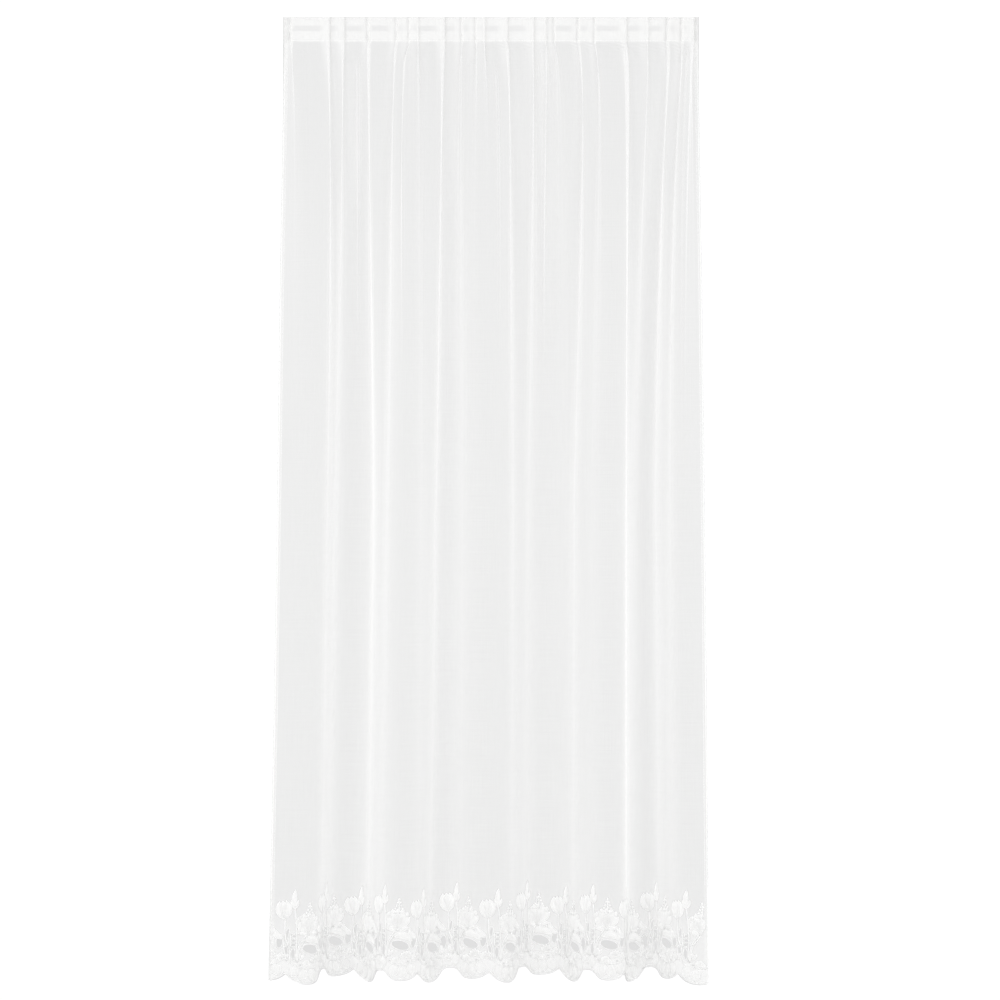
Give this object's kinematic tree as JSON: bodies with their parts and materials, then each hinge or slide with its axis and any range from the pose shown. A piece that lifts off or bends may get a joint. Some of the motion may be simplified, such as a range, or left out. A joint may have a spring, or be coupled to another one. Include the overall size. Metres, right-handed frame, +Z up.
{
  "type": "net curtain",
  "caption": "A long sheer white net curtain that hangs in soft uneven folds from a gathered heading, with a flowered lace border and a scalloped hem.",
  "frame": {"origin": "the middle of the top edge, on the line that the curtain hangs from", "axes": "+Z is up along the drop, +X runs to the right as seen from the front, and the front faces -Y"},
  "size_m": [1.1119, 0.164, 2.45],
  "materials": {
    "net_cloth": "sheer woven net, soft and slightly silky",
    "heading_tape": "closely woven tape with two dense bands"
  },
  "bodies": {
    "root": {"panel": "net_cloth", "heading_tape": "heading_tape"}
  },
  "joints": []
}
